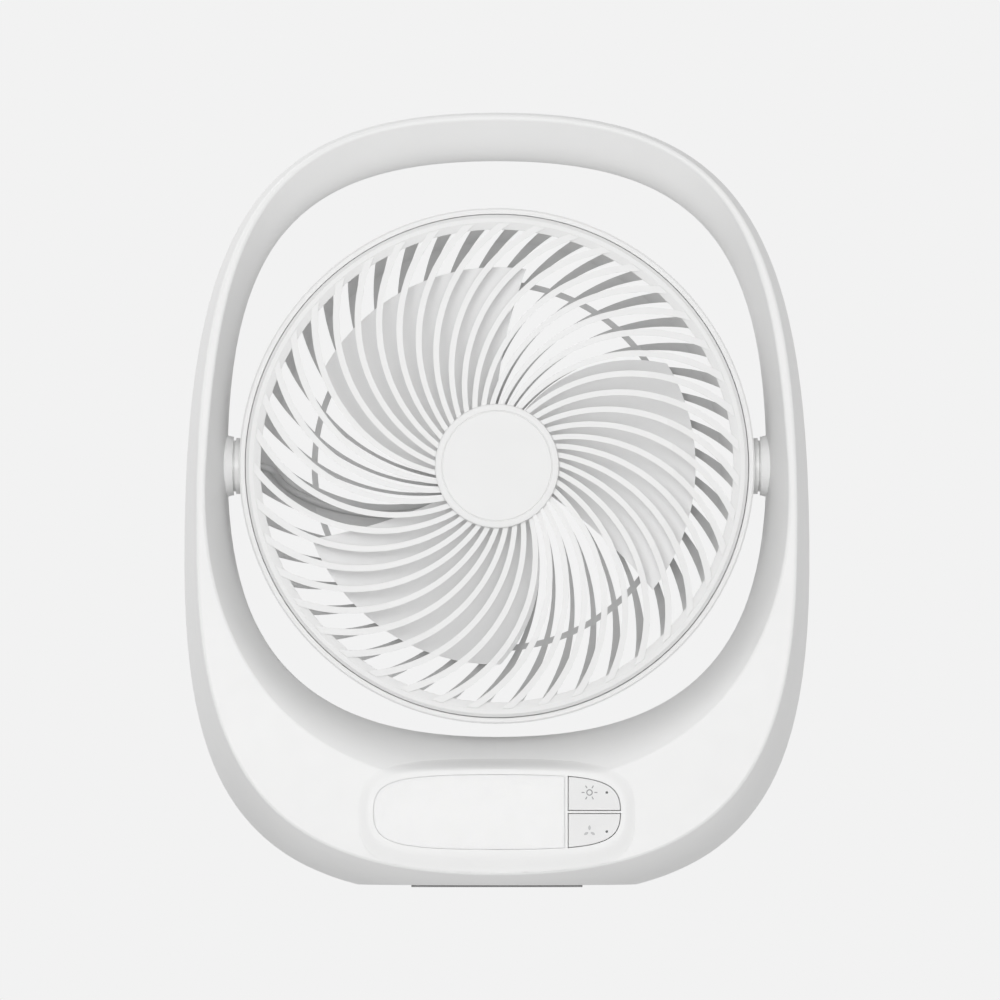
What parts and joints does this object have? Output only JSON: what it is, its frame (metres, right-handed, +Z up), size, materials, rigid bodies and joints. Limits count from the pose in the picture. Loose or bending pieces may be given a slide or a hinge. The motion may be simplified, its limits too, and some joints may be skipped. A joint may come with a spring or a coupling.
{
  "type": "rechargeable desk fan",
  "caption": "Cordless desk fan: a round grilled head tilting in a rounded one-piece frame with a carrying handle, with a lamp window and push-buttons in the base.",
  "frame": {"origin": "bottom centre of the bounding box, on the surface the feet rest on", "axes": "+X to the fan's left-hand pivot side as seen from behind (right in front view), -Y out of the face, +Z up"},
  "size_m": [0.2344, 0.0916, 0.29],
  "materials": {
    "shell": "satin white moulding",
    "grille": "satin white moulding",
    "blade": "satin white moulding",
    "lens": "milky light diffuser",
    "button": "satin white moulding with a printed mark",
    "indicator": "smoked light guide",
    "bearing": "plain white bearing plastic",
    "foot": "grey rubber",
    "screw": "zinc-plated steel",
    "board": "green board",
    "led": "yellow phosphor",
    "switch": "black moulding",
    "holder": "black moulding",
    "cell": "blue shrink sleeve",
    "socket": "drawn steel shell",
    "motor_steel": "plated steel",
    "magnet": "dark bonded ferrite",
    "bush_metal": "sintered bronze",
    "copper": "copper",
    "lead": "white sleeved lead"
  },
  "bodies": {
    "frame": {"front_shell": "shell", "rear_shell": "shell", "shell_screws": "screw", "front_foot": "foot", "rear_foot": "foot", "light_lens": "lens", "control_board": "board", "control_board_screws": "screw", "light_leds": "led", "light_switch": "switch", "fan_switch": "switch", "battery_holder": "holder", "battery_cell_front": "cell", "battery_cell_rear": "cell", "charge_board": "board", "charge_board_screws": "screw", "charge_socket": "socket", "left_pivot_bush": "bearing", "right_pivot_bush": "bearing", "arm_lead": "lead"},
    "head": {"front_grille": "grille", "hub_cap": "grille", "rear_housing": "grille", "rear_cap": "grille", "grille_screws": "screw", "left_trunnion": "bearing", "right_trunnion": "bearing", "left_pivot_washer": "bearing", "right_pivot_washer": "bearing", "motor_can": "motor_steel", "motor_end_cap": "switch", "motor_front_bush": "bush_metal", "motor_rear_bush": "bush_metal", "motor_magnets": "magnet", "motor_brushes": "copper", "motor_screws": "screw", "head_lead": "lead"},
    "impeller": {"impeller": "blade", "motor_shaft": "motor_steel", "motor_rotor": "motor_steel", "motor_commutator": "copper"},
    "light_button": {"light_button": "button", "light_indicator": "indicator", "light_plunger": "switch"},
    "fan_button": {"fan_button": "button", "fan_indicator": "indicator", "fan_plunger": "switch"}
  },
  "joints": [
    {"name": "head_tilt", "type": "hinge", "parent": "frame", "child": "head", "pos_m": [0, 0, 0.1575], "axis": [1, 0, 0], "range_deg": [-90, 90]},
    {"name": "impeller_spin", "type": "hinge", "parent": "head", "child": "impeller", "pos_m": [0, 0, 0.1575], "axis": [0, 1, 0], "continuous": true},
    {"name": "light_button_press", "type": "slide", "parent": "frame", "child": "light_button", "axis": [0, 1, 0], "range_m": [0, 0.0006], "stiffness_N_per_m": 2500},
    {"name": "fan_button_press", "type": "slide", "parent": "frame", "child": "fan_button", "axis": [0, 1, 0], "range_m": [0, 0.0006], "stiffness_N_per_m": 2500}
  ]
}
